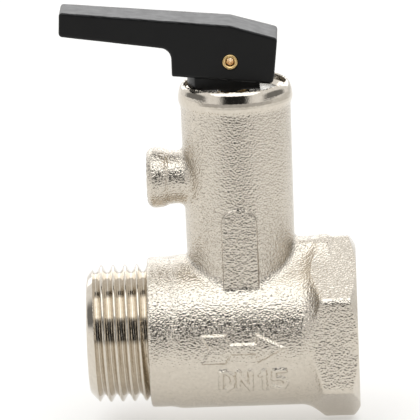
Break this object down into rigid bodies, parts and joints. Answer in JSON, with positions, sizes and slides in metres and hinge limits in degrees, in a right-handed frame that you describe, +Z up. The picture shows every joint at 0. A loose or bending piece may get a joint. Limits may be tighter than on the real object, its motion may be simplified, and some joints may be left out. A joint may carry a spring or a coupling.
{
  "type": "pressure relief valve",
  "caption": "Plated brass relief valve with a threaded inlet, hex outlet port, drain spigot and black easing lever on a vertical tower.",
  "frame": {"origin": "centre of the heater port's mouth, on the barrel axis", "axes": "+X out of the heater port, +Z up along the tower, the lever's rivet along Y"},
  "size_m": [0.0436, 0.025, 0.0652],
  "materials": {
    "plated_casting": "nickel plated brass, blasted casting with machined ends",
    "plated_plug": "nickel plated, turned",
    "brass_rivet": "bright brass",
    "turned_brass": "turned brass",
    "spring_steel": "stainless spring wire",
    "washer_steel": "stainless, pressed",
    "lever_plastic": "black moulded plastic, satin",
    "valve_rubber": "black rubber",
    "sleeve_plastic": "natural white moulded plastic",
    "poppet_plastic": "moulded plastic"
  },
  "bodies": {
    "casing": {"valve_body": "plated_casting", "adjusting_plug": "plated_plug", "spindle_o_ring": "valve_rubber", "spring_washer": "washer_steel", "relief_spring": "spring_steel", "check_housing": "sleeve_plastic", "check_o_ring": "valve_rubber", "check_guide": "sleeve_plastic", "check_spring": "spring_steel", "check_retainer": "washer_steel"},
    "relief_spindle": {"spindle": "turned_brass", "disc_holder": "turned_brass", "seal_disc": "valve_rubber", "lever_pin": "brass_rivet"},
    "easing_lever": {"lever": "lever_plastic"},
    "check_disc": {"check_poppet": "poppet_plastic", "check_seal": "valve_rubber"}
  },
  "joints": [
    {"name": "lever_turn", "type": "hinge", "parent": "relief_spindle", "child": "easing_lever", "pos_m": [-0.01795, 0, 0.0428], "axis": [0, 1, 0], "range_deg": [0, 85]},
    {"name": "spindle_lift", "type": "slide", "parent": "casing", "child": "relief_spindle", "axis": [0, 0, 1], "range_m": [0, 0.0036], "stiffness_N_per_m": 200, "springref_m": -0.001, "deforming": ["relief_spring"]},
    {"name": "check_open", "type": "slide", "parent": "casing", "child": "check_disc", "axis": [1, 0, 0], "range_m": [0, 0.002], "stiffness_N_per_m": 60, "springref_m": -0.001, "deforming": ["check_spring"]}
  ],
  "couplings": [
    {"joint": "lever_turn", "follows": "spindle_lift", "rad_per_m": 400}
  ]
}
